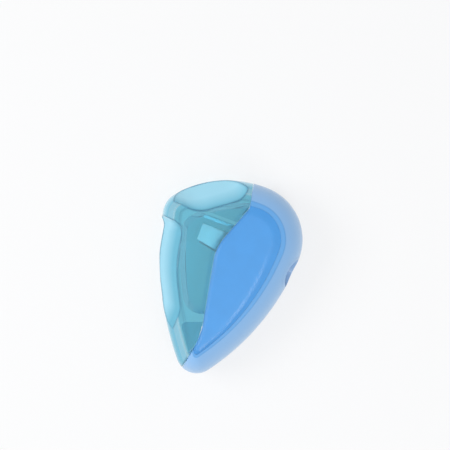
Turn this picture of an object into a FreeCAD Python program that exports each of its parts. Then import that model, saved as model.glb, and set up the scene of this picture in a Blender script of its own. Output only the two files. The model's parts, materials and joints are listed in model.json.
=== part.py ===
"""Drop-shaped hand-held pencil sharpener with a pull-off shavings container.

Millimetres, +Z up. The sharpener lies on its back: the drop is drawn in XY with its tip towards -Y and
its front face looks up. The pencil goes in through the right-hand rim, into a wedge-shaped block with a
screwed-on blade. The translucent container on the left pulls off along the pencil's axis.
"""
import FreeCAD, Part
import math
import os
import Sketcher
from FreeCAD import Placement, Rotation, Vector

SIZES = (
    # Outline of the drop: three rounds joined by three shallow arcs.
    ("right_x", 5.5, "round end, centre"),
    ("right_y", 12.3, "round end, centre"),
    ("right_r", 18.1, "round end, radius"),
    ("corner_x", -14.9, "upper left round, centre"),
    ("corner_y", 20.5, "upper left round, centre"),
    ("corner_r", 7.65, "upper left round, radius"),
    ("tip_x", -11.3, "tip, centre"),
    ("tip_y", -24.9, "tip, centre"),
    ("tip_r", 6.95, "tip, radius"),
    ("top_arc", 35.0, "top side, radius"),
    ("left_arc", 102.0, "left side, radius"),
    ("lower_arc", 79.0, "lower right side, radius"),
    # Section of the drop.
    ("shell_thick", 21.6, "thickness without the panels"),
    ("rim_band", 1.0, "height of the upright band round the rim"),
    ("plateau_tip_r", 0.95, "radius left at the tip of the flat face"),
    ("face_wall", 2.0, "thickness of the front and back faces"),
    ("rim_wall", 2.2, "thickness of the body's rim"),
    ("hollow_tip_r", 0.35, "radius at the tip of the body's hollow, at its ceiling"),
    ("hollow_straight", 3.0, "half height of the hollow's upright wall"),
    # Grip panels let into the two faces of the body.
    ("panel_proud", 0.6, "how far a panel's crown stands proud"),
    ("panel_depth", 0.9, "depth of a panel's recess"),
    ("panel_edge", 1.4, "flat left outside a panel, at the round end"),
    ("panel_fit", 0.03, "play round a panel"),
    ("panel_corner_dx", 1.2, "panel's upper left round, right of the corner's centre"),
    ("panel_corner_dy", 1.2, "panel's upper left round, below the corner's centre"),
    ("panel_corner_r", 1.0, "panel's upper left round, radius"),
    ("panel_tip_dx", 0.1, "panel's tip, right of the tip's centre"),
    ("panel_tip_dy", 0.6, "panel's tip, above the tip's centre"),
    ("panel_tip_r", 0.75, "panel's tip, radius"),
    ("crown_run", 2.6, "width of the slope up to a panel's crown, at the round end"),
    ("crown_corner_dx", 3.0, "crown's upper left round, right of the corner's centre"),
    ("crown_corner_dy", 3.0, "crown's upper left round, below the corner's centre"),
    ("crown_corner_r", 1.0, "crown's upper left round, radius"),
    ("crown_tip_dx", 0.2, "crown's tip, right of the tip's centre"),
    ("crown_tip_dy", 1.4, "crown's tip, above the tip's centre"),
    ("crown_tip_r", 0.7, "crown's tip, radius"),
    # Seam between body and container, by its bends.
    ("seam_top_dx", 2.5, "upper end, right of the round end's centre"),
    ("seam_top_over", 3.0, "upper end, past the outline"),
    ("seam_knee_dx", 0.7, "knee below the upper end, right of the round end's centre"),
    ("seam_knee_dy", 10.3, "knee, above the round end's centre"),
    ("seam_knee_r", 2.5, "knee, radius"),
    ("seam_mid_dx", 10.5, "upper bend, left of the round end's centre"),
    ("seam_mid_dy", 2.6, "upper bend, below the round end's centre"),
    ("seam_mid_r", 16.0, "upper bend, radius"),
    ("seam_low_dx", 1.5, "lower bend, right of the tip's centre"),
    ("seam_low_dy", 5.7, "lower bend, above the tip's centre"),
    ("seam_low_r", 25.0, "lower bend, radius"),
    ("seam_end_dx", 6.5, "lower end, left of the tip's centre"),
    ("seam_end_dy", 8.1, "lower end, below the tip's centre"),
    ("seam_gap", 0.2, "gap between body and container"),
    # Pencil axis and wedge-shaped block; distances run inwards from the rim.
    ("axis_angle", 21.0, "fall of the pencil's axis towards the rim, degrees"),
    ("axis_drop", 5.2, "axis below the round end's centre"),
    ("axis_lift", 2.2, "axis in front of the middle plane"),
    ("block_in", 8.0, "rim to the block's inlet face"),
    ("block_len", 25.7, "block, length"),
    ("block_top", 4.9, "axis to the block's back"),
    ("block_front", 4.9, "axis to the block's front side"),
    ("block_rear", 7.2, "axis to the block's rear side"),
    ("bore_r", 4.1, "pencil bore, radius"),
    ("bore_len", 6.5, "pencil bore, length"),
    ("lead_r", 0.8, "hole for the lead, radius"),
    ("cone_angle", 10.0, "half angle of the cone, degrees"),
    ("slot_depth", 0.15, "how far the blade's seat opens the cone"),
    # Blade and its screw, on the block's sloping seat.
    ("blade_len", 23.0, "blade, length"),
    ("blade_fore", 4.5, "blade, length over the bore"),
    ("blade_wide", 6.6, "blade, width"),
    ("blade_thick", 0.7, "blade, thickness"),
    ("blade_edge", 0.35, "axis to the cutting edge"),
    ("blade_grind", 1.2, "width of the ground edge"),
    ("screw_back", 7.0, "screw, from the start of the cone"),
    ("screw_side", 4.4, "screw, behind the axis"),
    ("screw_r", 1.15, "screw, shank radius"),
    ("screw_play", 0.05, "play round the shank"),
    ("screw_len", 4.0, "screw, length below the blade"),
    ("screw_head_r", 2.3, "screw, head radius"),
    ("screw_head", 1.3, "screw, head height"),
    ("screw_slot", 0.7, "screw, slot width"),
    ("screw_slot_depth", 0.6, "screw, slot depth"),
    ("blade_hole_play", 0.2, "play of the shank in the blade"),
    # Inlet collar in the rim.
    ("collar_r", 5.9, "collar, outer radius"),
    ("collar_play", 0.06, "play round the collar"),
    ("collar_len", 6.0, "rim to the collar's shoulder"),
    ("collar_neck", 5.1, "collar's neck, radius"),
    ("funnel_r", 4.9, "funnel at the rim, radius"),
    ("funnel_throat", 4.4, "funnel's throat, radius"),
    ("throat_play", 0.15, "collar's inner end, wider than the bore"),
    # Carrier that holds the block.
    ("rail_gap", 1.9, "block's back to the rail"),
    ("rail_thick", 1.0, "rail, thickness"),
    ("rail_half", 4.4, "rail, half width"),
    ("rail_over", 0.6, "rail, length past the block"),
    ("head_front", 5.9, "head plate, in front of the axis"),
    ("head_rear", 8.0, "head plate, behind the axis"),
    ("head_low", 6.0, "head plate, depth below the axis"),
    ("saddle_half", 3.0, "saddle, half width"),
    ("saddle_short", 10.5, "saddle's end to the block's end"),
    # Pegs that join the two halves of the body.
    ("peg_top_dx", 9.2, "top peg, right of the round end's centre"),
    ("peg_top_dy", 7.7, "top peg, above the round end's centre"),
    ("peg_low_dx", 4.0, "lower peg, right of the round end's centre"),
    ("peg_low_dy", -20.8, "lower peg, above the round end's centre"),
    ("peg_tip_dx", 6.8, "tip peg, right of the tip's centre"),
    ("peg_tip_dy", 4.4, "tip peg, above the tip's centre"),
    ("boss_r", 2.4, "boss, radius"),
    ("peg_r", 1.2, "peg, radius"),
    ("peg_len", 4.0, "peg, length"),
    ("peg_play", 0.05, "play round a peg"),
    ("peg_room", 0.5, "room under a peg"),
    # Finger scoops of the container, by the arm left standing between them.
    ("arm_angle", 24.0, "fall of the arm towards the right, degrees"),
    ("arm_drop", 0.45, "arm's middle below the corner's centre"),
    ("arm_half", 2.9, "arm, half width"),
    ("scoop_step", 4.0, "depth of the upright step round a scoop"),
    ("top_scoop_slope", 1.4, "top scoop, run for each mm of depth"),
    ("top_scoop_lean", 35.0, "lean of the top scoop's run to the left, degrees"),
    ("left_scoop_slope", 0.96, "left scoop, run for each mm of depth"),
    ("top_scoop_in", 3.8, "top scoop, reach past the corner's centre"),
    ("top_scoop_r", 10.0, "top scoop, inner round"),
    ("top_scoop_inset", 4.4, "top scoop, width at its right end"),
    ("top_scoop_end", 0.1, "top scoop's right end, right of the round end's centre"),
    ("top_scoop_end_r", 5.5, "top scoop, right-hand round"),
    ("left_scoop_in", 0.75, "left scoop, reach past the corner's centre"),
    ("left_scoop_r", 4.5, "left scoop, inner round"),
    ("left_scoop_mid_dx", 3.3, "left scoop's middle, left of the corner's centre"),
    ("left_scoop_mid_dy", 17.5, "left scoop's middle, below the corner's centre"),
    ("left_scoop_mid_r", 40.0, "left scoop's middle, radius"),
    ("left_scoop_low_dx", 5.2, "left scoop's lower bend, left of the tip's centre"),
    ("left_scoop_low_dy", 14.1, "left scoop's lower bend, above the tip's centre"),
    ("left_scoop_low_r", 6.0, "left scoop's lower bend, radius"),
    ("left_scoop_end_dx", 11.2, "left scoop's end, left of the tip's centre"),
    ("left_scoop_end_dy", 0.4, "left scoop's end, below the tip's centre"),
    # Shavings chamber of the container: its ceiling outline and how far it widens below.
    ("room_right_wall", 8.3, "ceiling inside the round end"),
    ("room_corner_dx", 4.7, "upper left round, right of the corner's centre"),
    ("room_corner_dy", 5.9, "upper left round, below the corner's centre"),
    ("room_corner_r", 4.2, "upper left round, radius"),
    ("room_tip_dx", 2.1, "lower round, right of the tip's centre"),
    ("room_tip_dy", 19.3, "lower round, above the tip's centre"),
    ("room_tip_r", 4.6, "lower round, radius"),
    ("room_top_arc", 29.0, "top side, radius"),
    ("room_left_arc", 95.0, "left side, radius"),
    ("room_lower_arc", 72.0, "lower side, radius"),
    ("room_flare", 2.0, "widening from the ceiling to the middle"),
    ("room_straight", 4.0, "half height of the upright wall"),
    ("tip_room_dx", 5.2, "hollow in the tip, left of the tip's centre"),
    ("tip_room_dy", 10.3, "hollow in the tip, above the tip's centre"),
    ("tip_room_low_dx", 2.2, "hollow's foot, left of the tip's centre"),
    ("tip_room_low_dy", 0.5, "hollow's foot, below the tip's centre"),
    ("tip_room_half", 7.5, "hollow in the tip, half height"),
    ("tip_room_r", 1.5, "hollow in the tip, rounds"),
    # Tongues under the body's faces, and the wall that runs along the rail.
    ("tongue_len", 4.0, "tongue, length past the seam"),
    ("tongue_root", 1.5, "tongue's root, length"),
    ("tongue_thick", 1.1, "tongue, thickness"),
    ("tongue_gap", 0.3, "tongue to the body's face"),
    ("tongue_up", 16.5, "tongue, length above the seam's upper bend"),
    ("tongue_down", 26.0, "tongue, length below the seam's upper bend"),
    ("guide_gap", 0.3, "rail to the guide wall"),
    ("guide_thick", 1.0, "guide wall, thickness"),
)

# Each peg and the round that it is placed from.
PEGS = (("peg_top", "right"), ("peg_low", "right"), ("peg_tip", "tip"))

COS = "cos(Sizes.axis_angle)"
SIN = "sin(Sizes.axis_angle)"
ARM_COS = "cos(Sizes.arm_angle)"
ARM_SIN = "sin(Sizes.arm_angle)"
MIDDLE = "(Sizes.panel_proud + Sizes.shell_thick / 2)"
HALF = "(Sizes.shell_thick / 2)"
CEILING = f"({HALF} - Sizes.face_wall)"
BEVEL = "(Sizes.tip_r - Sizes.plateau_tip_r)"
BEVEL_HIGH = f"({HALF} - Sizes.rim_band / 2)"
PANEL_IN = f"({BEVEL} + Sizes.panel_edge)"
CROWN_IN = f"({PANEL_IN} + Sizes.crown_run)"
CONE_START = "(Sizes.block_in + Sizes.bore_len)"
BLOCK_END = "(Sizes.block_in + Sizes.block_len)"
SEAT_DEPTH = "(Sizes.bore_r - Sizes.slot_depth)"
SEAT_TURN = "(Sizes.axis_angle + Sizes.cone_angle)"
RAIL_IN = "(Sizes.block_top + Sizes.rail_gap)"
RAIL_OUT = f"({RAIL_IN} + Sizes.rail_thick)"
AXIS_Z = f"({MIDDLE} + Sizes.axis_lift)"
AXIS_X = f"(Sizes.right_x - Sizes.axis_drop * {SIN} + Sizes.right_r * {COS})"
AXIS_Y = f"(Sizes.right_y - Sizes.axis_drop * {COS} - Sizes.right_r * {SIN})"
BEVEL_TURNS = (0, 20, 40, 60)
FAR = 60.0

DROP = {
    "rounds": [
        ("Sizes.right_x", "Sizes.right_y", "Sizes.right_r"),
        ("Sizes.corner_x", "Sizes.corner_y", "Sizes.corner_r"),
        ("Sizes.tip_x", "Sizes.tip_y", "Sizes.tip_r"),
    ],
    "sides": ["Sizes.top_arc", "Sizes.left_arc", "Sizes.lower_arc"],
}


def inner_drop(name, inset):
    """Smaller drop inside the outline: set in at its round end, with its own corner and tip."""
    return {
        "rounds": [
            ("Sizes.right_x", "Sizes.right_y", f"(Sizes.right_r - {inset})"),
            (
                f"(Sizes.corner_x + Sizes.{name}_corner_dx)",
                f"(Sizes.corner_y - Sizes.{name}_corner_dy)",
                f"Sizes.{name}_corner_r",
            ),
            (
                f"(Sizes.tip_x + Sizes.{name}_tip_dx)",
                f"(Sizes.tip_y + Sizes.{name}_tip_dy)",
                f"Sizes.{name}_tip_r",
            ),
        ],
        "sides": [f"(Sizes.{side}_arc - {inset})" for side in ("top", "left", "lower")],
    }


PANEL = inner_drop("panel", PANEL_IN)
CROWN = inner_drop("crown", CROWN_IN)
ROOM = {
    "rounds": [
        ("Sizes.right_x", "Sizes.right_y", "(Sizes.right_r - Sizes.room_right_wall)"),
        (
            "(Sizes.corner_x + Sizes.room_corner_dx)",
            "(Sizes.corner_y - Sizes.room_corner_dy)",
            "Sizes.room_corner_r",
        ),
        ("(Sizes.tip_x + Sizes.room_tip_dx)", "(Sizes.tip_y + Sizes.room_tip_dy)", "Sizes.room_tip_r"),
    ],
    "sides": ["Sizes.room_top_arc", "Sizes.room_left_arc", "Sizes.room_lower_arc"],
}
SEAM = [
    ("(Sizes.right_x + Sizes.seam_top_dx)", "(Sizes.right_y + Sizes.right_r + Sizes.seam_top_over)", None),
    ("(Sizes.right_x + Sizes.seam_knee_dx)", "(Sizes.right_y + Sizes.seam_knee_dy)", "Sizes.seam_knee_r"),
    ("(Sizes.right_x - Sizes.seam_mid_dx)", "(Sizes.right_y - Sizes.seam_mid_dy)", "Sizes.seam_mid_r"),
    ("(Sizes.tip_x + Sizes.seam_low_dx)", "(Sizes.tip_y + Sizes.seam_low_dy)", "Sizes.seam_low_r"),
    ("(Sizes.tip_x - Sizes.seam_end_dx)", "(Sizes.tip_y - Sizes.seam_end_dy)", None),
]

doc = FreeCAD.newDocument("sharpener")
sizes = doc.addObject("Spreadsheet::Sheet", "Sizes")


def fill_sheet():
    """Write every driving size into the sheet under its own name."""
    for row, (alias, value, meaning) in enumerate(SIZES, start=1):
        sizes.set(f"A{row}", meaning)
        sizes.set(f"B{row}", str(value))
        sizes.setAlias(f"B{row}", alias)
    doc.recompute()


def number(expression):
    """Present value of an expression over the sheet."""
    return float(sizes.evalExpression(str(expression)))


def moved(point, dx, dy):
    """A seam or outline point shifted by two expressions."""
    return (f"({point[0]} + {dx})", f"({point[1]} + {dy})", point[2])


def along_axis(distance):
    """Shift of a point by a distance inwards along the pencil's axis."""
    return (f"(-{COS} * {distance})", f"({SIN} * {distance})")


def arm_point(inwards, across):
    """Point given from the corner's centre: inwards along the arm between the scoops, and across it."""
    return (
        f"(Sizes.corner_x + {ARM_COS} * {inwards} + {ARM_SIN} * {across})",
        f"(Sizes.corner_y - {ARM_SIN} * {inwards} + {ARM_COS} * {across})",
    )


def towards(start, end, distance):
    """Point on the way from one point to another, a distance from the first."""
    reach = f"hypot({end[0]} - {start[0]}; {end[1]} - {start[1]})"
    return (
        f"({start[0]} + ({end[0]} - {start[0]}) * {distance} / {reach})",
        f"({start[1]} + ({end[1]} - {start[1]}) * {distance} / {reach})",
        None,
    )


def hold(sketch, constraint, expression):
    """Add a constraint and bind its value to the sheet."""
    index = sketch.addConstraint(constraint)
    name = f"size{index}"
    sketch.renameConstraint(index, name)
    sketch.setExpression(f"Constraints.{name}", str(expression))


def pin_point(sketch, curve, position, x, y):
    """Hold a point of a sketch at a place bound to the sheet."""
    hold(sketch, Sketcher.Constraint("DistanceX", curve, position, number(x)), x)
    hold(sketch, Sketcher.Constraint("DistanceY", curve, position, number(y)), y)


def angle_of(vector):
    return math.atan2(vector.y, vector.x)


def arc_between(centre, radius, start, end):
    """Arc round a centre, anticlockwise from the direction of one vector to that of another."""
    first = angle_of(start)
    last = angle_of(end)
    while last < first:
        last += 2 * math.pi
    return Part.ArcOfCircle(Part.Circle(centre, Vector(0, 0, 1), radius), first, last)


def side_centre(first, second, radius):
    """Centre of the arc that touches two rounds from outside, on the inner side of both."""
    (c1, r1), (c2, r2) = first, second
    base = c2 - c1
    span = base.Length
    unit = base / span
    reach = radius - r1
    run = (reach ** 2 - (radius - r2) ** 2 + span ** 2) / (2 * span)
    rise = math.sqrt(reach ** 2 - run ** 2)
    return c1 + unit * run + Vector(-unit.y, unit.x, 0) * rise


def drop_sketch(name, outline, grow, height):
    """Outline of three rounds and three sides, all grown by one distance, at a height."""
    sketch = doc.addObject("Sketcher::SketchObject", name)
    rounds = [(Vector(number(x), number(y), 0), number(f"{r} + {grow}")) for x, y, r in outline["rounds"]]
    radii = [number(f"{r} + {grow}") for r in outline["sides"]]
    centres = [side_centre(rounds[i], rounds[(i + 1) % 3], radii[i]) for i in range(3)]
    for i in range(3):
        middle, radius = rounds[i]
        following = rounds[(i + 1) % 3][0]
        sketch.addGeometry(arc_between(middle, radius, middle - centres[i - 1], middle - centres[i]))
        sketch.addGeometry(arc_between(centres[i], radii[i], middle - centres[i], following - centres[i]))
    for curve in range(6):
        sketch.addConstraint(Sketcher.Constraint("Tangent", curve, 2, (curve + 1) % 6, 1))
    for i in range(3):
        x, y, radius = outline["rounds"][i]
        pin_point(sketch, 2 * i, 3, x, y)
        hold(sketch, Sketcher.Constraint("Radius", 2 * i, rounds[i][1]), f"{radius} + {grow}")
        hold(sketch, Sketcher.Constraint("Radius", 2 * i + 1, radii[i]), f"{outline['sides'][i]} + {grow}")
    sketch.setExpression("Placement.Base.z", height)
    return sketch


def draw_polygon(sketch, corners):
    """Closed outline of straight lines; a corner with a radius is rounded."""
    places = [Vector(number(c[0]), number(c[1]), 0) for c in corners]
    radii = [c[2] if len(c) > 2 else None for c in corners]
    count = len(corners)
    entries = []
    exits = []
    for i in range(count):
        back = (places[i - 1] - places[i]).normalize()
        ahead = (places[(i + 1) % count] - places[i]).normalize()
        cut = 0.0
        if radii[i]:
            cut = number(radii[i]) / math.tan(back.getAngle(ahead) / 2)
        entries.append(places[i] + back * cut)
        exits.append(places[i] + ahead * cut)
    for i in range(count):
        sketch.addGeometry(Part.LineSegment(exits[i], entries[(i + 1) % count]))
    for i in range(count):
        if radii[i]:
            round_corner(sketch, (i - 1) % count, i, places[i], entries[i], exits[i], corners[i])
        else:
            sketch.addConstraint(Sketcher.Constraint("Coincident", (i - 1) % count, 2, i, 1))
            pin_point(sketch, i, 1, corners[i][0], corners[i][1])


def round_corner(sketch, before, after, place, entry, leave, corner):
    """Round between two lines of a polygon, with the lines' meeting point held in place."""
    radius = number(corner[2])
    inwards = (entry - place).normalize() + (leave - place).normalize()
    inwards.normalize()
    half = (entry - place).getAngle(leave - place) / 2
    centre = place + inwards * (radius / math.sin(half))
    left_turn = (place - entry).cross(leave - place).z > 0
    if left_turn:
        arc = sketch.addGeometry(arc_between(centre, radius, entry - centre, leave - centre))
        ends = (1, 2)
    else:
        arc = sketch.addGeometry(arc_between(centre, radius, leave - centre, entry - centre))
        ends = (2, 1)
    sketch.addConstraint(Sketcher.Constraint("Tangent", before, 2, arc, ends[0]))
    sketch.addConstraint(Sketcher.Constraint("Tangent", arc, ends[1], after, 1))
    hold(sketch, Sketcher.Constraint("Radius", arc, radius), corner[2])
    point = sketch.addGeometry(Part.Point(place), True)
    sketch.addConstraint(Sketcher.Constraint("PointOnObject", point, 1, before))
    sketch.addConstraint(Sketcher.Constraint("PointOnObject", point, 1, after))
    pin_point(sketch, point, 1, corner[0], corner[1])


def plan_sketch(name, corners, height):
    """Polygon in plan, at a height."""
    sketch = doc.addObject("Sketcher::SketchObject", name)
    draw_polygon(sketch, corners)
    sketch.setExpression("Placement.Base.z", height)
    return sketch


def body_sketch(body, role, name, corners, offset=None):
    """Polygon on one of a body's own origin planes, moved off it by an expression."""
    sketch = body.newObject("Sketcher::SketchObject", name)
    plane = next(f for f in body.Origin.OriginFeatures if f.Role == role)
    sketch.AttachmentSupport = [(plane, "")]
    sketch.MapMode = "FlatFace"
    if offset:
        sketch.setExpression("AttachmentOffset.Base.z", offset)
    draw_polygon(sketch, corners)
    return sketch


def rectangle(x0, x1, y0, y1):
    return [(x0, y0), (x1, y0), (x1, y1), (x0, y1)]


def extrude(name, sketch, length, direction=(0, 0, 1)):
    """Straight or slanting extrusion of a plan sketch; the length is measured along the direction."""
    solid = doc.addObject("Part::Extrusion", name)
    solid.Base = sketch
    solid.DirMode = "Custom"
    for part, value in zip("xyz", direction):
        solid.setExpression(f"Dir.{part}", str(value))
    solid.setExpression("LengthFwd", length)
    solid.Solid = True
    return solid


def loft(name, sketches, ruled):
    solid = doc.addObject("Part::Loft", name)
    solid.Sections = sketches
    solid.Solid = True
    solid.Ruled = ruled
    return solid


def fuse(name, shapes):
    solid = doc.addObject("Part::MultiFuse", name)
    solid.Shapes = shapes
    return solid


def common(name, shapes):
    solid = doc.addObject("Part::MultiCommon", name)
    solid.Shapes = shapes
    return solid


def cut(name, base, tool):
    solid = doc.addObject("Part::Cut", name)
    solid.Base = base
    solid.Tool = tool
    return solid


def mirror(name, source):
    """Copy of a shape on the other side of the middle plane."""
    solid = doc.addObject("Part::Mirroring", name)
    solid.Source = source
    solid.Normal = Vector(0, 0, 1)
    solid.setExpression("Base.z", MIDDLE)
    return solid


def axis_frame():
    """Frame on the pencil's axis, with +X out of the pencil hole and its origin at the rim."""
    return Placement(
        Vector(number(AXIS_X), number(AXIS_Y), number(AXIS_Z)),
        Rotation(Vector(0, 0, -1), number("Sizes.axis_angle")),
    )


def axis_box(name, inner, outer, low, high, floor, top):
    """Box in the axis frame: two distances inwards from the rim, two across the axis, two up from it."""
    solid = doc.addObject("Part::Box", name)
    solid.setExpression("Length", f"({outer}) - ({inner})")
    solid.setExpression("Width", f"({high}) - ({low})")
    solid.setExpression("Height", f"({top}) - ({floor})")
    corner = Vector(-number(outer), number(low), number(floor))
    solid.Placement = axis_frame() * Placement(corner, Rotation())
    return solid


def column(name, radius, x, y, floor, top):
    """Upright cylinder between two heights."""
    solid = doc.addObject("Part::Cylinder", name)
    solid.setExpression("Radius", radius)
    solid.setExpression("Height", f"({top}) - ({floor})")
    solid.setExpression("Placement.Base.x", x)
    solid.setExpression("Placement.Base.y", y)
    solid.setExpression("Placement.Base.z", floor)
    return solid


def axis_body(name, x=AXIS_X, y=AXIS_Y, z=AXIS_Z, turn="Sizes.axis_angle"):
    """Body whose frame lies on the pencil's axis, or on a place turned from it."""
    body = doc.addObject("PartDesign::Body", name)
    body.Placement = Placement(Vector(), Rotation(Vector(0, 0, -1), number(turn)))
    body.setExpression("Placement.Base.x", x)
    body.setExpression("Placement.Base.y", y)
    body.setExpression("Placement.Base.z", z)
    body.setExpression("Placement.Rotation.Angle", turn)
    return body


def pad(body, sketch, length, both_ways=False):
    feature = body.newObject("PartDesign::Pad", f"{sketch.Name}_pad")
    feature.Profile = sketch
    feature.setExpression("Length", length)
    if both_ways:
        feature.SideType = "Symmetric"
    body.Tip = feature
    return feature


def pocket_through(body, sketch):
    feature = body.newObject("PartDesign::Pocket", f"{sketch.Name}_cut")
    feature.Profile = sketch
    feature.SideType = "Symmetric"
    feature.Length = FAR
    body.Tip = feature
    return feature


def spin(body, sketch, kind, axis):
    """Revolution or groove of a sketch round one of its own axes."""
    feature = body.newObject(f"PartDesign::{kind}", f"{sketch.Name}_turn")
    feature.Profile = sketch
    feature.ReferenceAxis = (sketch, [axis])
    feature.Angle = 360.0
    body.Tip = feature
    return feature


def round_hole(body, role, name, radius, x="0", y="0"):
    """Through hole drawn as a circle on one of a body's origin planes."""
    sketch = body.newObject("Sketcher::SketchObject", name)
    plane = next(f for f in body.Origin.OriginFeatures if f.Role == role)
    sketch.AttachmentSupport = [(plane, "")]
    sketch.MapMode = "FlatFace"
    centre = Vector(number(x), number(y), 0)
    circle = sketch.addGeometry(Part.Circle(centre, Vector(0, 0, 1), number(radius)))
    pin_point(sketch, circle, 3, x, y)
    hold(sketch, Sketcher.Constraint("Radius", circle, number(radius)), radius)
    return pocket_through(body, sketch)


def make_envelope():
    """Outer skin of the closed drop: front half, back half and both together."""
    band = extrude(
        "front_band", drop_sketch("band_outline", DROP, "0", MIDDLE), "Sizes.rim_band / 2"
    )
    last = BEVEL_TURNS[-1]
    sections = []
    for angle in BEVEL_TURNS:
        grow = f"(-{BEVEL} * (1 - cos({angle})) / (1 - cos({last})))"
        height = f"{MIDDLE} + Sizes.rim_band / 2 + {BEVEL_HIGH} * sin({angle}) / sin({last})"
        sections.append(drop_sketch(f"bevel_{angle}", DROP, grow, height))
    front = fuse("front_skin", [band, loft("front_bevel", sections, False)])
    back = mirror("back_skin", front)
    return front, back, fuse("skin", [front, back])


def make_stepped_room(name, outline, steps):
    """Hollow, symmetrical about the middle plane, through outlines at given half heights."""
    sections = []
    for index, (grow, high) in enumerate(steps):
        sections.append(drop_sketch(f"{name}_low{index}", outline, grow, f"{MIDDLE} - {high}"))
    for index, (grow, high) in reversed(list(enumerate(steps))):
        sections.append(drop_sketch(f"{name}_high{index}", outline, grow, f"{MIDDLE} + {high}"))
    return loft(name, sections, True)


def seam_region(name, shift):
    """Everything on the body's side of the seam, with the seam moved inwards along the axis."""
    dx, dy = along_axis(shift)
    bends = [moved(point, dx, dy) for point in SEAM]
    right = "(Sizes.right_x + 3 * Sizes.right_r)"
    below = (right, bends[-1][1], None)
    above = (right, bends[0][1], None)
    sketch = plan_sketch(f"{name}_plan", bends + [below, above], "-Sizes.shell_thick")
    return extrude(name, sketch, "4 * Sizes.shell_thick")


def make_pegs(front_void_tools, back_void_tools):
    """Bosses kept standing in both hollows, with the pegs and the sockets that join them."""
    pegs = []
    sockets = []
    reach = f"{MIDDLE} + {HALF} - Sizes.face_wall / 2"
    floor = f"{MIDDLE} - {HALF} + Sizes.face_wall / 2"
    for name, base in PEGS:
        x = f"Sizes.{base}_x + Sizes.{name}_dx"
        y = f"Sizes.{base}_y + Sizes.{name}_dy"
        front_void_tools.append(column(f"{name}_front_boss", "Sizes.boss_r", x, y, MIDDLE, reach))
        back_void_tools.append(column(f"{name}_back_boss", "Sizes.boss_r", x, y, floor, MIDDLE))
        foot = f"({MIDDLE} - Sizes.peg_len)"
        pegs.append(column(f"{name}_pin", "Sizes.peg_r", x, y, foot, f"{MIDDLE} + Sizes.face_wall"))
        socket_r = "Sizes.peg_r + Sizes.peg_play"
        socket_floor = f"({foot} - Sizes.peg_room)"
        sockets.append(column(f"{name}_socket", socket_r, x, y, socket_floor, MIDDLE))
    return pegs, sockets


def make_body_shells(front_skin, back_skin, region):
    """Front and back halves of the body, hollow, with the panels' recesses and the collar's hole."""
    ceiling_grow = "(Sizes.hollow_tip_r - Sizes.tip_r)"
    middle_grow = "(-Sizes.rim_wall)"
    shoulder = f"(({CEILING} + Sizes.hollow_straight) / 2)"
    hollow = make_stepped_room(
        "body_hollow",
        DROP,
        [
            (ceiling_grow, CEILING),
            (f"(({ceiling_grow} + {middle_grow} * 2) / 3)", shoulder),
            (middle_grow, "Sizes.hollow_straight"),
        ],
    )
    seat = ("Sizes.collar_len", "Sizes.block_in", "-Sizes.head_low", RAIL_OUT)
    front_keep = [axis_box("front_seat", *seat, "Sizes.head_front", HALF)]
    back_keep = [axis_box("back_seat", *seat, f"-{HALF} - Sizes.axis_lift", "-Sizes.head_rear")]
    head_slot = axis_box("head_slot", *seat, "-Sizes.head_rear", "Sizes.head_front")
    pegs, sockets = make_pegs(front_keep, back_keep)
    recess_floor = f"{MIDDLE} + {HALF} - Sizes.panel_depth"
    recess_plan = drop_sketch("recess_outline", PANEL, "Sizes.panel_fit", recess_floor)
    recess = extrude("front_recess", recess_plan, "2 * Sizes.panel_depth")
    collar_hole = doc.addObject("Part::Cylinder", "collar_hole")
    collar_hole.setExpression("Radius", "Sizes.collar_r + Sizes.collar_play")
    collar_hole.setExpression("Height", "Sizes.collar_r + Sizes.collar_len")
    outside = Placement(Vector(number("Sizes.collar_r"), 0, 0), Rotation(Vector(0, 1, 0), -90))
    collar_hole.Placement = axis_frame() * outside

    front_void = cut("front_void", hollow, fuse("front_kept", front_keep))
    back_void = cut("back_void", hollow, fuse("back_kept", back_keep))
    front_tools = fuse("front_tools", [front_void, recess, collar_hole, head_slot])
    back_recess = mirror("back_recess", recess)
    back_tools = fuse("back_tools", [back_void, back_recess, collar_hole, head_slot] + sockets)
    front_blank = common("front_blank", [front_skin, region])
    back_blank = common("back_blank", [back_skin, region])
    front = fuse("front_shell", [cut("front_dish", front_blank, front_tools)] + pegs)
    back = cut("back_shell", back_blank, back_tools)
    return front, back


def make_panels(region):
    """Grip panels that fill the recesses up to the seam and slope up to a flat crown."""
    face = f"({MIDDLE} + {HALF})"
    plan = drop_sketch("panel_outline", PANEL, "0", f"{face} - Sizes.panel_depth")
    slab = extrude("panel_slab", plan, "Sizes.panel_depth")
    crown_foot = drop_sketch("crown_foot", PANEL, "0", face)
    crown_top = drop_sketch("crown_top", CROWN, "0", f"{face} + Sizes.panel_proud")
    crown = loft("panel_crown", [crown_foot, crown_top], True)
    front = common("front_panel", [fuse("panel_plain", [slab, crown]), region])
    return front, mirror("back_panel", front)


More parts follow.
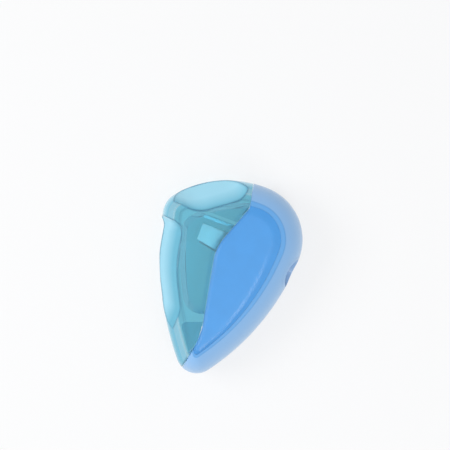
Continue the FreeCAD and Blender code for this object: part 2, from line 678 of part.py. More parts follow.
def make_scoops():
    """Four finger scoops: top and left, front and back, each a slanting cut below an upright step."""
    face = f"({MIDDLE} + {HALF})"
    upper = "(Sizes.arm_half - Sizes.arm_drop)"
    lower = "(-Sizes.arm_half - Sizes.arm_drop)"
    right_end = "(Sizes.right_x + Sizes.top_scoop_end)"
    top_edge = "(Sizes.right_y + Sizes.right_r - Sizes.top_scoop_inset)"
    sky = "(Sizes.right_y + 2 * Sizes.right_r)"
    outside = "(-2 * Sizes.corner_r)"
    left_edge = "(Sizes.corner_x - 4 * Sizes.corner_r)"
    top_plan = [
        (*arm_point(outside, upper), None),
        (*arm_point("Sizes.top_scoop_in", upper), "Sizes.top_scoop_r"),
        (right_end, top_edge, "Sizes.top_scoop_end_r"),
        (right_end, sky, None),
        (left_edge, sky, None),
    ]
    low_x = "(Sizes.tip_x - Sizes.left_scoop_low_dx)"
    low_y = "(Sizes.tip_y + Sizes.left_scoop_low_dy)"
    end_x = "(Sizes.tip_x - Sizes.left_scoop_end_dx)"
    end_y = "(Sizes.tip_y - Sizes.left_scoop_end_dy)"
    mid_x = "(Sizes.corner_x - Sizes.left_scoop_mid_dx)"
    mid_y = "(Sizes.corner_y - Sizes.left_scoop_mid_dy)"
    left_plan = [
        (*arm_point(outside, lower), None),
        (left_edge, end_y, None),
        (end_x, end_y, None),
        (low_x, low_y, "Sizes.left_scoop_low_r"),
        (mid_x, mid_y, "Sizes.left_scoop_mid_r"),
        (*arm_point("Sizes.left_scoop_in", lower), "Sizes.left_scoop_r"),
    ]
    runs = {
        "top": ("-sin(Sizes.top_scoop_lean)", "cos(Sizes.top_scoop_lean)"),
        "left": (f"-{ARM_COS}", ARM_SIN),
    }
    tools = []
    for side, plan in (("top", top_plan), ("left", left_plan)):
        foot = f"({face} - Sizes.scoop_step)"
        step = extrude(f"{side}_step", plan_sketch(f"{side}_step_plan", plan, foot), "3 * Sizes.scoop_step")
        slope = f"Sizes.{side}_scoop_slope"
        run = [f"{part} * {slope}" for part in runs[side]]
        slant_length = f"({HALF} - Sizes.scoop_step) * sqrt(1 + {slope} ^ 2)"
        slant = extrude(
            f"{side}_slant", plan_sketch(f"{side}_slant_plan", plan, foot), slant_length, (*run, "-1")
        )
        scoop = fuse(f"{side}_scoop", [step, slant])
        tools += [scoop, mirror(f"{side}_scoop_back", scoop)]
    return fuse("scoops", tools)


def tongue_plan(name, ahead, behind, height):
    """Band along the seam, from a distance past it to a distance behind it."""
    knee, bend, lower = SEAM[1:4]
    spine = [
        towards(bend, knee, "Sizes.tongue_up"),
        (bend[0], bend[1], None),
        towards(bend, lower, "Sizes.tongue_down"),
    ]
    front = [moved(point, *along_axis(f"(-{ahead})")) for point in spine]
    rear = [moved(point, *along_axis(behind)) for point in spine]
    return plan_sketch(name, front[::-1] + rear, height)


def make_container(skin):
    """Translucent cup left of the seam: scooped outside, hollow inside, with tongues and a guide wall."""
    room = make_stepped_room(
        "room",
        ROOM,
        [
            ("0", CEILING),
            ("(Sizes.room_flare / 2)", f"(({CEILING} + Sizes.room_straight) / 2)"),
            ("Sizes.room_flare", "Sizes.room_straight"),
        ],
    )
    guide = axis_box(
        "guide_wall",
        CONE_START,
        f"({BLOCK_END} + Sizes.block_len)",
        f"({RAIL_OUT} + Sizes.guide_gap)",
        f"({RAIL_OUT} + Sizes.guide_gap + Sizes.guide_thick)",
        f"-{HALF} - Sizes.axis_lift",
        HALF,
    )
    tongue_top = f"({MIDDLE} + {CEILING} - Sizes.tongue_gap)"
    tongue_floor = f"({tongue_top} - Sizes.tongue_thick)"
    root = extrude(
        "tongue_root", tongue_plan("root_plan", "0", "Sizes.tongue_root", tongue_floor), "Sizes.face_wall"
    )
    tongue = extrude(
        "front_tongue",
        tongue_plan("front_tongue_plan", "Sizes.tongue_len", "Sizes.tongue_root", tongue_floor),
        "Sizes.tongue_thick",
    )
    tip_x = "(Sizes.tip_x - Sizes.tip_room_dx)"
    tip_y = "(Sizes.tip_y + Sizes.tip_room_dy)"
    foot_x = "(Sizes.tip_x - Sizes.tip_room_low_dx)"
    foot_y = "(Sizes.tip_y - Sizes.tip_room_low_dy)"
    past = "(Sizes.tip_x + 2 * Sizes.tip_r)"
    tip_plan = [
        (past, tip_y, None),
        (tip_x, tip_y, "Sizes.tip_room_r"),
        (foot_x, foot_y, "Sizes.tip_room_r"),
        (past, foot_y, None),
    ]
    tip_room = extrude(
        "tip_room",
        plan_sketch("tip_room_plan", tip_plan, f"{MIDDLE} - Sizes.tip_room_half"),
        "2 * Sizes.tip_room_half",
    )
    kept = fuse("room_kept", [guide, root, mirror("back_root", root)])
    void = fuse("container_void", [cut("room_void", room, kept), tip_room])
    outside = fuse("container_cuts", [seam_region("container_side", "Sizes.seam_gap"), make_scoops()])
    blank = cut("container_blank", skin, outside)
    cup = cut("container_cup", blank, void)
    return fuse("container", [cup, tongue, mirror("back_tongue", tongue)])


def seat_y(distance):
    """Height of the blade's seat, across the axis, at a distance inwards from the rim."""
    return f"(-{SEAT_DEPTH} + ({distance} - {CONE_START}) * tan(Sizes.cone_angle))"


def seat_place(back):
    """Global X and Y of a point on the blade's seat, a distance back from the start of the cone."""
    inwards = f"({CONE_START} + {back} * cos(Sizes.cone_angle))"
    across = f"(-{SEAT_DEPTH} + {back} * sin(Sizes.cone_angle))"
    return (
        f"({AXIS_X} - {inwards} * {COS} + {across} * {SIN})",
        f"({AXIS_Y} + {inwards} * {SIN} + {across} * {COS})",
    )


def make_block():
    """Wedge-shaped block with the pencil bore, the cone and the screw's hole."""
    body = axis_body("block_wedge")
    profile = [
        ("-Sizes.block_in", "Sizes.block_top"),
        (f"-{BLOCK_END}", "Sizes.block_top"),
        (f"-{BLOCK_END}", seat_y(BLOCK_END)),
        ("-Sizes.block_in", seat_y("Sizes.block_in")),
    ]
    side = body_sketch(body, "XY_Plane", "block_profile", profile, "-Sizes.block_rear")
    pad(body, side, "Sizes.block_front + Sizes.block_rear")
    cone_end = f"({CONE_START} + (Sizes.bore_r - Sizes.lead_r) / tan(Sizes.cone_angle))"
    mouth = "(1 - Sizes.block_in)"
    back = f"(-{BLOCK_END} - 1)"
    bore = [
        (mouth, "0"),
        (mouth, "Sizes.bore_r"),
        (f"-{CONE_START}", "Sizes.bore_r"),
        (f"-{cone_end}", "Sizes.lead_r"),
        (back, "Sizes.lead_r"),
        (back, "0"),
    ]
    spin(body, body_sketch(body, "XY_Plane", "block_bore", bore), "Groove", "H_Axis")
    doc.recompute()
    screw_hole = doc.addObject("Part::Cylinder", "block_screw_hole")
    screw_hole.setExpression("Radius", "Sizes.screw_r + Sizes.screw_play")
    screw_hole.setExpression("Height", "2 * Sizes.screw_len + 1")
    x, y = seat_place("Sizes.screw_back")
    seat = Placement(
        Vector(number(x), number(y), number(f"{AXIS_Z} - Sizes.screw_side")),
        Rotation(Vector(0, 0, -1), number(SEAT_TURN)),
    )
    start = Vector(0, -number("Sizes.screw_len"), 0)
    screw_hole.Placement = seat * Placement(start, Rotation(Vector(1, 0, 0), -90))
    return cut("block", body, screw_hole)


def make_blade():
    """Steel blade, ground along its cutting edge, lying on the seat."""
    x, y = seat_place("0")
    body = axis_body("blade_body", x, y, AXIS_Z, SEAT_TURN)
    far_side = "(-Sizes.blade_edge - Sizes.blade_wide)"
    profile = [
        ("0", "-Sizes.blade_edge"),
        ("0", far_side),
        ("-Sizes.blade_thick", far_side),
        ("-Sizes.blade_thick", "(-Sizes.blade_edge - Sizes.blade_grind)"),
    ]
    start = "(Sizes.blade_fore - Sizes.blade_len)"
    pad(body, body_sketch(body, "YZ_Plane", "blade_profile", profile, start), "Sizes.blade_len")
    hole_r = "(Sizes.screw_r + Sizes.blade_hole_play)"
    round_hole(body, "XZ_Plane", "blade_hole", hole_r, "-Sizes.screw_back", "-Sizes.screw_side")
    return body


def make_screw():
    """Slotted cheese-head screw through the blade."""
    x, y = seat_place("Sizes.screw_back")
    body = axis_body("screw_body", x, y, f"{AXIS_Z} - Sizes.screw_side", SEAT_TURN)
    top = "(-Sizes.blade_thick - Sizes.screw_head)"
    profile = [
        ("0", "Sizes.screw_len"),
        ("0", top),
        ("Sizes.screw_head_r", top),
        ("Sizes.screw_head_r", "-Sizes.blade_thick"),
        ("Sizes.screw_r", "-Sizes.blade_thick"),
        ("Sizes.screw_r", "Sizes.screw_len"),
    ]
    spin(body, body_sketch(body, "XY_Plane", "screw_profile", profile), "Revolution", "V_Axis")
    slot = rectangle(
        "-Sizes.screw_slot / 2", "Sizes.screw_slot / 2", f"({top} - 1)", f"({top} + Sizes.screw_slot_depth)"
    )
    pocket_through(body, body_sketch(body, "XY_Plane", "screw_slot_plan", slot))
    return body


def make_collar(skin):
    """Funnel-shaped collar in the rim, flush with the skin, with a neck that centres the carrier."""
    body = axis_body("collar_body")
    out = "Sizes.collar_r"
    profile = [
        (out, f"(Sizes.funnel_r + (Sizes.funnel_r - Sizes.funnel_throat) * {out} / Sizes.collar_len)"),
        ("-Sizes.collar_len", "Sizes.funnel_throat"),
        ("-Sizes.block_in", "(Sizes.bore_r + Sizes.throat_play)"),
        ("-Sizes.block_in", "Sizes.collar_neck"),
        ("-Sizes.collar_len", "Sizes.collar_neck"),
        ("-Sizes.collar_len", "Sizes.collar_r"),
        ("0", "Sizes.collar_r"),
        (out, f"(Sizes.collar_r + {out})"),
    ]
    spin(body, body_sketch(body, "XY_Plane", "collar_profile", profile), "Revolution", "H_Axis")
    trim = doc.addObject("Part::Cylinder", "collar_trim")
    trim.setExpression("Radius", "Sizes.collar_r")
    trim.setExpression("Height", "2 * Sizes.collar_r + Sizes.block_in")
    start = Placement(Vector(number("2 * Sizes.collar_r"), 0, 0), Rotation(Vector(0, 1, 0), -90))
    trim.Placement = axis_frame() * start
    return common("collar", [body, skin, trim])


def make_carrier():
    """Carrier: head plate behind the collar, saddle on the block's back and a rail into the container."""
    body = axis_body("carrier_body")
    rail_end = f"(-{BLOCK_END} - Sizes.rail_over)"
    rail = rectangle(rail_end, "-Sizes.collar_len", RAIL_IN, RAIL_OUT)
    pad(body, body_sketch(body, "XY_Plane", "rail_plan", rail), "2 * Sizes.rail_half", True)
    head = rectangle("-Sizes.block_in", "-Sizes.collar_len", "-Sizes.head_low", RAIL_OUT)
    head_sketch = body_sketch(body, "XY_Plane", "head_plan", head, "-Sizes.head_rear")
    pad(body, head_sketch, "Sizes.head_front + Sizes.head_rear")
    saddle_end = f"(Sizes.saddle_short - {BLOCK_END})"
    saddle_top = f"({RAIL_IN} + Sizes.rail_thick / 2)"
    saddle = rectangle(saddle_end, "-Sizes.block_in", "Sizes.block_top", saddle_top)
    pad(body, body_sketch(body, "XY_Plane", "saddle_plan", saddle), "2 * Sizes.saddle_half", True)
    doc.recompute()
    hole = doc.addObject("Part::Cylinder", "carrier_hole")
    hole.setExpression("Radius", "Sizes.collar_neck + Sizes.collar_play")
    hole.setExpression("Height", "Sizes.block_in")
    hole.Placement = axis_frame() * Placement(Vector(), Rotation(Vector(0, 1, 0), -90))
    return cut("carrier", body, hole)


def export(nodes):
    """Check every object of the document, then write each node's solid."""
    doc.recompute()
    for item in doc.Objects:
        if "Invalid" in item.State or "Error" in item.State:
            raise RuntimeError(f"{item.Name} did not compute: {item.State}")
    os.makedirs("parts", exist_ok=True)
    for label, item in nodes.items():
        item.Label = label
        shape = item.Shape
        if shape.isNull() or not shape.isValid() or not shape.Solids:
            raise RuntimeError(f"{label} has no valid solid")
        shape.exportStep(f"parts/{label}.step")
        box = shape.BoundBox
        print(
            f"{label}: {len(shape.Solids)} solid, {shape.Volume:.1f} mm3, "
            f"x {box.XMin:.2f}..{box.XMax:.2f} y {box.YMin:.2f}..{box.YMax:.2f} "
            f"z {box.ZMin:.2f}..{box.ZMax:.2f}"
        )


def main():
    fill_sheet()
    front_skin, back_skin, skin = make_envelope()
    region = seam_region("body_side", "0")
    front_shell, back_shell = make_body_shells(front_skin, back_skin, region)
    front_panel, back_panel = make_panels(region)
    nodes = {
        "body_front_shell": front_shell,
        "body_back_shell": back_shell,
        "front_grip_panel": front_panel,
        "back_grip_panel": back_panel,
        "inlet_collar": make_collar(skin),
        "block_carrier": make_carrier(),
        "sharpener_block": make_block(),
        "blade": make_blade(),
        "blade_screw": make_screw(),
        "shavings_container": make_container(skin),
    }
    export(nodes)


main()
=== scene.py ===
"""Looks of the drop-shaped pencil sharpener: blue shell and grips, translucent container, metal block.

Metres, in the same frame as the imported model. The sharpener lies on its back and the camera looks straight
down on its front face.
"""
import bpy
import json
import math
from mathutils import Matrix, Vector


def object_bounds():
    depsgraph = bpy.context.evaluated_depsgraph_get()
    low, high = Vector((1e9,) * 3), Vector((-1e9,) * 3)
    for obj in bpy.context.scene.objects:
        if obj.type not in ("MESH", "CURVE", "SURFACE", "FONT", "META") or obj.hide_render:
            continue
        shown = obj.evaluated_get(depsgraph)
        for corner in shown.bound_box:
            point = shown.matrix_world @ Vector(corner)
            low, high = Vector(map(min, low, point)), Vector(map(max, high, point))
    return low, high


MM = 0.001

# Framing: the photograph's size, its scale at the rim, and the pixel where the model's origin lies.
PHOTO_PX = 450
METRES_PER_PX = 0.33 * MM
ORIGIN_PX = Vector((231.0, 276.6))
CAMERA_DISTANCE = 0.70
SENSOR_WIDTH = 36.0

# Colours, in linear light. The shell's run from its flat face to the middle of its rim, paler outwards as a
# painted reflection, then its funnel, deeper as painted shade.
SHELL_FACE = (0.086, 0.330, 0.690)
SHELL_SHOULDER = (0.250, 0.490, 0.825)
SHELL_BLUE = (0.325, 0.558, 0.862)
SHELL_RIM_PAINTED_REFLECTION = (0.405, 0.622, 0.872)
SHELL_FUNNEL_PAINTED_SHADE = (0.300, 0.510, 0.820)
# The grips, and how much lighter their faint clouds are.
GRIP_BLUE = (0.040, 0.288, 0.700)
CLOUD_GAIN = 1.06
# The container: its faces, its scoops at their inner and outer edges, paler at the outer one as a painted
# reflection, the rim above them, the ceiling of its room, the walls below that, painted shade along the
# creases round the scoops, and the light let through to its shadow.
TEAL_FACE = (0.150, 0.500, 0.640)
TEAL_DEEP = (0.110, 0.470, 0.650)
TEAL_SCOOP_PAINTED_REFLECTION = (0.350, 0.730, 0.900)
TEAL_RIM = (0.200, 0.510, 0.660)
TEAL_CEILING = (0.700, 0.840, 0.870)
TEAL_WALL = (0.540, 0.750, 0.830)
TEAL_CREASE_PAINTED_SHADE = (0.040, 0.190, 0.320)
TEAL_SHADOW = (0.88, 0.96, 0.98)
# The pieces inside.
CARRIER_BLUE = (0.37, 0.61, 0.70)
ALLOY = (0.57, 0.62, 0.655)
STEEL = (0.60, 0.61, 0.63)
SCREW_STEEL = (0.50, 0.50, 0.52)
# The studio.
FLOOR_PALE = (0.86, 0.86, 0.87)
STUDIO_WHITE = (1.0, 1.0, 1.0)
WORLD_TINT = (0.95, 0.97, 1.0)

# The shell's flat faces lie this far from the middle plane, and its colours, paled outwards by a painted
# reflection, go by shares of that distance.
FACE_DEPTH = 10.8 * MM
SHELL_STOPS = (
    (0.15, SHELL_RIM_PAINTED_REFLECTION),
    (0.60, SHELL_BLUE),
    (0.975, SHELL_SHOULDER),
    (1.0, SHELL_FACE),
)

# Soft steps, each with its start and its end. These go by distance from the middle plane: onto the outer
# faces, onto the room's ceiling, onto the rim above the scoops, up a scoop's slope, and onto a grip's crown.
FACE_STEP = (8.9 * MM, 9.9 * MM)
CEILING_STEP = (8.5 * MM, 8.7 * MM)
RIM_STEP = (6.9 * MM, 7.3 * MM)
SCOOP_STEP = (1.7 * MM, 5.2 * MM)
CROWN_STEP = (11.0 * MM, 11.2 * MM)
# These go by place in plan: into the left scoop, into the top scoop, from the seam into the top scoop, and
# upwards to where the top scoop's colours lie further from the middle plane by the lift.
LEFT_SCOOP_STEP = (-13.5 * MM, -14.5 * MM)
TOP_SCOOP_STEP = (20.0 * MM, 21.0 * MM)
SEAM_STEP = (6.3 * MM, 5.5 * MM)
LIFT_STEP = (15.0 * MM, 19.0 * MM)
TOP_SCOOP_LIFT = 1.9 * MM
# This one goes by distance from the pencil's axis, out of the funnel's painted shade.
FUNNEL_STEP = (4.7 * MM, 5.1 * MM)
# These go by the cosine of an angle: from wall to slope, from slope to flat face, and onto a rounded edge.
SLOPE_STEP = (0.05, 0.25)
FLAT_STEP = (0.84, 0.92)
EDGE_STEP = (0.997, 0.90)

# How much light the scoops and the rim let through.
SCOOP_CLEARNESS = 0.35

# How wide the painted shade along the creases reaches and how wide the edge of a crown is rounded, and how
# many rays a rounded edge takes.
CREASE_RADIUS = 1.25 * MM
CROWN_RADIUS = 2.0 * MM
BEVEL_SAMPLES = 6

# Noise mostly lies in this span. Grain has fine detail and gentle waves have little.
NOISE_SPAN = (0.3, 0.7)
GRAIN_DETAIL = 3.0
WAVE_DETAIL = 1.0

# The blade leans this much further than the pencil's axis falls, and is ground in strokes along its length.
BLADE_LEAN = math.radians(10.0)
STROKE_STRETCH = (1.0, 40.0, 40.0)

# Light: the world's share, how white the floor looks to the eye and through the container, and its width.
WORLD_STRENGTH = 0.56
FLOOR_WHITE = 0.72
FLOOR_SIZE = 6.0
# Square softboxes, each with its name, place, size and power, and the point that they all face.
LAMPS = (
    ("key", (-0.45, 0.06, 0.50), 0.35, 1.7),
    ("fill", (0.16, -0.34, 0.50), 0.20, 0.5),
    ("edge", (0.074, -0.117, 0.60), 0.13, 0.50),
)
LAMP_TARGET = Vector((0.0, 0.0, 0.01))

# Sockets of a Mix node for each kind of value: the two inputs and the output.
MIX_SOCKETS = {"VECTOR": (4, 5, 1), "RGBA": (6, 7, 2)}

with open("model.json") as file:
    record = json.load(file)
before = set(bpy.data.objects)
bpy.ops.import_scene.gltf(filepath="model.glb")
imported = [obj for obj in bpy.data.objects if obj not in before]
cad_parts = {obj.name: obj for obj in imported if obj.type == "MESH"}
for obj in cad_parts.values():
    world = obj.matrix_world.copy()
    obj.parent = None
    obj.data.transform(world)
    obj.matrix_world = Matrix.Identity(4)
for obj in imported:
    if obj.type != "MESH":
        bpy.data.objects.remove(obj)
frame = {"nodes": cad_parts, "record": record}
cad_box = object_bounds()
MIDDLE_HEIGHT = (cad_box[0].z + cad_box[1].z) / 2
PENCIL_BORE = next(mount for mount in frame["record"]["mounts"] if mount["name"] == "pencil_bore")


def feed(holder, socket, value):
    """Give a socket a value: another socket is linked to it, and a colour gets its fourth number."""
    if isinstance(value, bpy.types.NodeSocket):
        holder.node_tree.links.new(value, socket)
    elif socket.type == "RGBA":
        socket.default_value = (*value, 1.0)
    else:
        socket.default_value = value


def feed_all(holder, node, **values):
    """Feed a node's inputs, each named by its socket with underscores for spaces."""
    for name, value in values.items():
        feed(holder, node.inputs[name.replace("_", " ")], value)


def add(holder, kind, **values):
    """Add a node to a material or a world, and feed its inputs."""
    node = holder.node_tree.nodes.new(kind)
    feed_all(holder, node, **values)
    return node


def operate(holder, kind, operation, *values):
    """Outputs of a Math or Vector Math node that is fed values in order."""
    node = add(holder, kind)
    node.operation = operation
    for socket, value in zip(node.inputs, values):
        feed(holder, socket, value)
    return node.outputs


def calculate(holder, operation, *values):
    """Sum, product or the like of values; each is a number or a socket."""
    return operate(holder, "ShaderNodeMath", operation, *values)["Value"]


def vector_math(holder, operation, *values):
    """Outputs of an operation on vectors; each is three numbers or a socket."""
    return operate(holder, "ShaderNodeVectorMath", operation, *values)


def mixed(material, kind, factor, first, second):
    """Colour or vector between two others."""
    node = add(material, "ShaderNodeMix", Factor=factor)
    node.data_type = kind
    first_input, second_input, output = MIX_SOCKETS[kind]
    feed(material, node.inputs[first_input], first)
    feed(material, node.inputs[second_input], second)
    return node.outputs[output]


def mixed_surface(holder, output, factor, first, second):
    """Send a mix of two shaders to the holder's output."""
    mix = add(holder, "ShaderNodeMixShader", Fac=factor)
    feed(holder, mix.inputs[1], first.outputs[0])
    feed(holder, mix.inputs[2], second.outputs[0])
    feed_all(holder, holder.node_tree.nodes[output], Surface=mix.outputs["Shader"])


def ramped(material, value, step, low=0.0, high=1.0):
    """Value carried from a step's range to another range, and held at its ends."""
    start, end = step
    node = add(material, "ShaderNodeMapRange", Value=value, From_Min=start, From_Max=end)
    feed_all(material, node, To_Min=low, To_Max=high)
    return node.outputs["Result"]


def parts_of(material, vector):
    """The three parts of a vector, by name."""
    return add(material, "ShaderNodeSeparateXYZ", Vector=vector).outputs


def object_coordinates(material):
    """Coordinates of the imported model's frame, which move with the piece."""
    return add(material, "ShaderNodeTexCoord").outputs["Object"]


def geometry(material):
    """The surface's own normals, and which of its sides is seen."""
    return add(material, "ShaderNodeNewGeometry").outputs


def noise(material, place, grain, detail=GRAIN_DETAIL):
    """Noise whose features are about as large as grain, in metres."""
    node = add(material, "ShaderNodeTexNoise", Vector=place, Scale=1.0 / grain, Detail=detail)
    return node.outputs["Fac"]


def rounded_edges(material, radius):
    """Normal that turns smoothly over the edges."""
    node = add(material, "ShaderNodeBevel", Radius=radius)
    node.samples = BEVEL_SAMPLES
    return node.outputs["Normal"]


def new_material(name):
    """Material with a Principled shader; returns both."""
    material = bpy.data.materials.new(name)
    material.use_nodes = True
    return material, material.node_tree.nodes["Principled BSDF"]


def vary_roughness(material, shader, place, grain, low, high):
    """Roughness that wanders between two values with a given grain."""
    wander = ramped(material, noise(material, place, grain), NOISE_SPAN, low, high)
    feed_all(material, shader, Roughness=wander)


def add_relief(material, shader, place, grain, depth, normal, detail=GRAIN_DETAIL):
    """Relief of a given grain and depth, over a rounded normal."""
    height = noise(material, place, grain, detail)
    bump = add(material, "ShaderNodeBump", Strength=1.0, Distance=depth, Height=height, Normal=normal)
    feed_all(material, shader, Normal=bump.outputs["Normal"])


def height_off_middle(material):
    """Height off the middle plane, negative behind it."""
    place = parts_of(material, object_coordinates(material))
    return calculate(material, "SUBTRACT", place["Z"], MIDDLE_HEIGHT)


def depth_off_middle(material):
    """Distance from the middle plane, to the front or to the back."""
    return calculate(material, "ABSOLUTE", height_off_middle(material))


def off_axis(material):
    """Distance from the pencil's axis."""
    offset = vector_math(material, "SUBTRACT", object_coordinates(material), PENCIL_BORE["pos_m"])["Vector"]
    across = vector_math(material, "CROSS_PRODUCT", offset, PENCIL_BORE["axis"])["Vector"]
    return vector_math(material, "LENGTH", across)["Value"]


def edge_mask(material, normal):
    """Zero on flat faces, rising to one where the rounded normal leaves the face's own."""
    cosine = vector_math(material, "DOT_PRODUCT", geometry(material)["Normal"], normal)["Value"]
    return ramped(material, cosine, EDGE_STEP)


def outer_face(material):
    """One on the front and back faces and the rounded rim beside them, zero below the room's ceiling."""
    return ramped(material, depth_off_middle(material), FACE_STEP)


def slanting_out(material):
    """One on outer faces that slant away, such as the scoops and the rounded rim; zero on the flat faces."""
    face = geometry(material)
    side = calculate(material, "SIGN", height_off_middle(material))
    upright = calculate(material, "MULTIPLY", parts_of(material, face["True Normal"])["Z"], side)
    steep = ramped(material, upright, SLOPE_STEP)
    leaning = ramped(material, upright, FLAT_STEP, 1.0, 0.0)
    outside = calculate(material, "SUBTRACT", 1.0, face["Backfacing"])
    slant = calculate(material, "MULTIPLY", calculate(material, "MULTIPLY", steep, leaning), outside)
    below = calculate(material, "SUBTRACT", 1.0, outer_face(material))
    return calculate(material, "MULTIPLY", slant, below)


def near_scoops(material):
    """One over the plan of the two finger scoops, left and top, zero elsewhere."""
    place = parts_of(material, object_coordinates(material))
    left = ramped(material, place["X"], LEFT_SCOOP_STEP)
    above = ramped(material, place["Y"], TOP_SCOOP_STEP)
    short_of_seam = ramped(material, place["X"], SEAM_STEP)
    return calculate(material, "MAXIMUM", left, calculate(material, "MULTIPLY", above, short_of_seam))


def shell_colour_with_painted_light(material):
    """Nearly as deep as the grips at the flat face, paler towards the rim as a painted reflection, a little
    deeper in the funnel as painted shade.
    """
    share = ramped(material, depth_off_middle(material), (0.0, FACE_DEPTH))
    # The stops paler than the flat face are a painted reflection on the rim.
    ramp = add(material, "ShaderNodeValToRGB", Fac=share)
    elements = ramp.color_ramp.elements
    for position, _ in SHELL_STOPS[1:-1]:
        elements.new(position)
    for element, (position, colour) in zip(elements, SHELL_STOPS):
        element.position = position
        element.color = (*colour, 1.0)
    # Painted shade: the blue deepens inside the funnel.
    funnel = ramped(material, off_axis(material), FUNNEL_STEP, 1.0, 0.0)
    return mixed(material, "RGBA", funnel, ramp.outputs["Color"], SHELL_FUNNEL_PAINTED_SHADE)


def shell_plastic():
    """Satin blue moulding with gentle waves, with a painted reflection towards the rim and painted shade in
    the funnel.
    """
    material, shader = new_material("shell_plastic")
    place = object_coordinates(material)
    normal = rounded_edges(material, radius=0.15 * MM)
    vary_roughness(material, shader, place, grain=3.0 * MM, low=0.29, high=0.39)
    add_relief(
        material, shader, place, grain=2.0 * MM, depth=0.003 * MM, normal=normal, detail=WAVE_DETAIL
    )
    feed_all(material, shader, Base_Color=shell_colour_with_painted_light(material), Coat_Weight=0.25, Coat_Roughness=0.18)
    return material


def crown_normal(material):
    """Normal that turns smoothly over the edge of a grip's crown and keeps to the face at its foot."""
    crown = ramped(material, depth_off_middle(material), CROWN_STEP)
    rounded = rounded_edges(material, CROWN_RADIUS)
    return mixed(material, "VECTOR", crown, geometry(material)["Normal"], rounded)


def grip_plastic():
    """Soft-touch blue with faint clouds, a very fine grain, a faint sheen and a clear coat."""
    material, shader = new_material("grip_plastic")
    place = object_coordinates(material)
    normal = crown_normal(material)
    cloud = ramped(material, noise(material, place, grain=6.0 * MM), NOISE_SPAN)
    lighter = tuple(part * CLOUD_GAIN for part in GRIP_BLUE)
    vary_roughness(material, shader, place, grain=0.2 * MM, low=0.42, high=0.56)
    add_relief(material, shader, place, grain=0.12 * MM, depth=0.002 * MM, normal=normal)
    feed_all(material, shader, Base_Color=mixed(material, "RGBA", cloud, GRIP_BLUE, lighter))
    feed_all(material, shader, Sheen_Weight=0.12, Sheen_Roughness=0.4)
    feed_all(material, shader, Coat_Weight=0.6, Coat_Roughness=0.14, Coat_Normal=normal)
    return material


def scoop_colour(material, depth):
    """Pale at a scoop's outer edge as a painted reflection, and deep at its inner one."""
    place = parts_of(material, object_coordinates(material))
    lift = ramped(material, place["Y"], LIFT_STEP, 0.0, TOP_SCOOP_LIFT)
    # Paler towards the scoop's outer edge: a painted reflection.
    inner_edge = ramped(material, calculate(material, "SUBTRACT", depth, lift), SCOOP_STEP)
    return mixed(material, "RGBA", inner_edge, TEAL_SCOOP_PAINTED_REFLECTION, TEAL_DEEP)


def container_colour(material, slant, face):
    """Tint of each part of the container, with painted shade along the creases round its scoops."""
    depth = depth_off_middle(material)
    ceiling = ramped(material, depth, CEILING_STEP)
    inner = mixed(material, "RGBA", ceiling, TEAL_WALL, TEAL_CEILING)
    rim = ramped(material, depth, RIM_STEP)
    outer = mixed(material, "RGBA", rim, scoop_colour(material, depth), TEAL_RIM)
    below = mixed(material, "RGBA", slant, inner, outer)
    tint = mixed(material, "RGBA", face, below, TEAL_FACE)
    # Painted shade along the creases round the scoops.
    edge = edge_mask(material, rounded_edges(material, CREASE_RADIUS))
    outside = calculate(material, "MAXIMUM", slant, face)
    scooped = calculate(material, "MULTIPLY", outside, near_scoops(material))
    return mixed(material, "RGBA", calculate(material, "MULTIPLY", edge, scooped), tint, TEAL_CREASE_PAINTED_SHADE)


def container_plastic():
    """Clear teal plastic: tinted where light passes a surface, with a painted reflection on the scoops and
    painted shade along their creases, and open to lamplight.
    """
    material, shader = new_material("container_plastic")
    place = object_coordinates(material)
    normal = rounded_edges(material, radius=0.3 * MM)
    slant = slanting_out(material)
    clearness = ramped(material, slant, (0.0, 1.0), 1.0, SCOOP_CLEARNESS)
    colour = container_colour(material, slant, outer_face(material))
    add_relief(
        material, shader, place, grain=4.0 * MM, depth=0.02 * MM, normal=normal, detail=WAVE_DETAIL
    )
    feed_all(material, shader, Base_Color=colour, Transmission_Weight=clearness, Roughness=0.04, IOR=1.04)
    feed_all(material, shader, Coat_Weight=1.0, Coat_Roughness=0.06, Coat_IOR=1.5)
    shadow = add(material, "ShaderNodeLightPath").outputs["Is Shadow Ray"]
    clear = add(material, "ShaderNodeBsdfTransparent", Color=TEAL_SHADOW)
    mixed_surface(material, "Material Output", shadow, shader, clear)
    return material


def carrier_plastic():
    """Pale blue moulding inside."""
    material, shader = new_material("carrier_plastic")
    place = object_coordinates(material)
    normal = rounded_edges(material, radius=0.2 * MM)
    feed_all(material, shader, Base_Color=CARRIER_BLUE)
    vary_roughness(material, shader, place, grain=2.0 * MM, low=0.34, high=0.48)
    add_relief(material, shader, place, grain=0.4 * MM, depth=0.004 * MM, normal=normal)
    return material


def block_alloy():
    """Die-cast light alloy with a fine cast grain."""
    material, shader = new_material("block_alloy")
    place = object_coordinates(material)
    normal = rounded_edges(material, radius=0.3 * MM)
    feed_all(material, shader, Base_Color=ALLOY, Metallic=0.5)
    vary_roughness(material, shader, place, grain=0.8 * MM, low=0.38, high=0.55)
    add_relief(material, shader, place, grain=0.25 * MM, depth=0.006 * MM, normal=normal)
    return material


def blade_steel():
    """Steel ground lengthwise."""
    material, shader = new_material("blade_steel")
    axis = PENCIL_BORE["axis"]
    turn = (0.0, 0.0, math.atan2(-axis[1], axis[0]) + BLADE_LEAN)
    mapping = add(material, "ShaderNodeMapping", Scale=STROKE_STRETCH, Rotation=turn)
    feed_all(material, mapping, Vector=object_coordinates(material))
    strokes = mapping.outputs["Vector"]
    normal = rounded_edges(material, radius=0.08 * MM)
    feed_all(material, shader, Base_Color=STEEL, Metallic=1.0)
    vary_roughness(material, shader, strokes, grain=4.0 * MM, low=0.29, high=0.42)
    add_relief(material, shader, strokes, grain=4.0 * MM, depth=0.003 * MM, normal=normal)
    return material


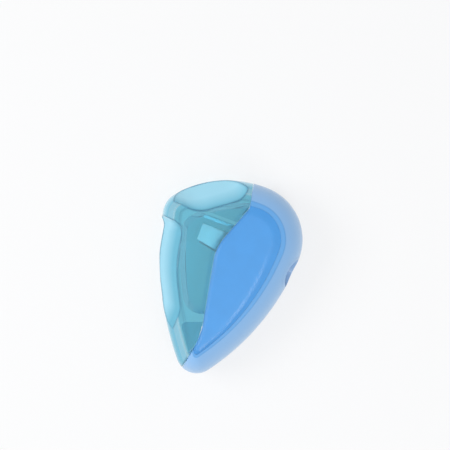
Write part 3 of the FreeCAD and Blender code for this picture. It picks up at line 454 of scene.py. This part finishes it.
def screw_steel():
    """Plated screw."""
    material, shader = new_material("screw_steel")
    place = object_coordinates(material)
    normal = rounded_edges(material, radius=0.15 * MM)
    feed_all(material, shader, Base_Color=SCREW_STEEL, Metallic=1.0)
    vary_roughness(material, shader, place, grain=0.5 * MM, low=0.29, high=0.42)
    add_relief(material, shader, place, grain=0.3 * MM, depth=0.003 * MM, normal=normal)
    return material


def dress(materials):
    """Give every node the material of its slot in the record."""
    for part in frame["record"]["subparts"]:
        node = frame["nodes"][part["node"]]
        node.data.materials.clear()
        node.data.materials.append(materials[part["material_slot"]])


def seen_ray(holder):
    """One for rays from the eye, and for those that reach it by a mirror or through clear plastic."""
    ray = add(holder, "ShaderNodeLightPath").outputs
    passed_on = calculate(holder, "MAXIMUM", ray["Is Glossy Ray"], ray["Is Transmission Ray"])
    return calculate(holder, "MAXIMUM", ray["Is Camera Ray"], passed_on)


def make_floor():
    """Wide pale floor that looks nearly white to the eye and through the container, and keeps the shadow."""
    bpy.ops.mesh.primitive_plane_add(size=FLOOR_SIZE, location=(0.0, 0.0, 0.0))
    floor = bpy.context.object
    floor.name = "floor"
    material, shader = new_material("floor_pale")
    feed_all(material, shader, Base_Color=FLOOR_PALE)
    vary_roughness(material, shader, object_coordinates(material), grain=50.0 * MM, low=0.75, high=0.85)
    share = calculate(material, "MULTIPLY", seen_ray(material), FLOOR_WHITE)
    white = add(material, "ShaderNodeEmission", Color=STUDIO_WHITE, Strength=1.0)
    mixed_surface(material, "Material Output", share, shader, white)
    floor.data.materials.append(material)


def make_world():
    """Soft even light from all round, which looks white to the eye."""
    world = bpy.data.worlds.new("studio")
    bpy.context.scene.world = world
    world.use_nodes = True
    light = world.node_tree.nodes["Background"]
    feed_all(world, light, Color=WORLD_TINT, Strength=WORLD_STRENGTH)
    white = add(world, "ShaderNodeBackground", Color=STUDIO_WHITE, Strength=1.0)
    mixed_surface(world, "World Output", seen_ray(world), light, white)


def make_lamps():
    """Softboxes: key from the left, fill from the lower right, and one overhead for the grip's edge."""
    for name, place, size, power in LAMPS:
        data = bpy.data.lights.new(name, "AREA")
        data.size = size
        data.energy = power
        lamp = bpy.data.objects.new(name, data)
        bpy.context.scene.collection.objects.link(lamp)
        lamp.location = place
        lamp.rotation_euler = (LAMP_TARGET - Vector(place)).to_track_quat("-Z", "Y").to_euler()


def make_camera():
    """Straight above, with the sharpener where it lies in the photograph's frame."""
    data = bpy.data.cameras.new("camera")
    data.sensor_width = SENSOR_WIDTH
    data.lens = SENSOR_WIDTH * CAMERA_DISTANCE / (PHOTO_PX * METRES_PER_PX)
    camera = bpy.data.objects.new("camera", data)
    bpy.context.scene.collection.objects.link(camera)
    offset = (Vector((PHOTO_PX / 2, PHOTO_PX / 2)) - ORIGIN_PX) * METRES_PER_PX
    camera.location = (offset.x, -offset.y, MIDDLE_HEIGHT + CAMERA_DISTANCE)
    bpy.context.scene.camera = camera


dress({
    "shell_plastic": shell_plastic(),
    "grip_plastic": grip_plastic(),
    "container_plastic": container_plastic(),
    "carrier_plastic": carrier_plastic(),
    "block_alloy": block_alloy(),
    "blade_steel": blade_steel(),
    "screw_steel": screw_steel(),
})
make_floor()
make_world()
make_lamps()
make_camera()
bpy.context.scene.view_settings.view_transform = "Standard"
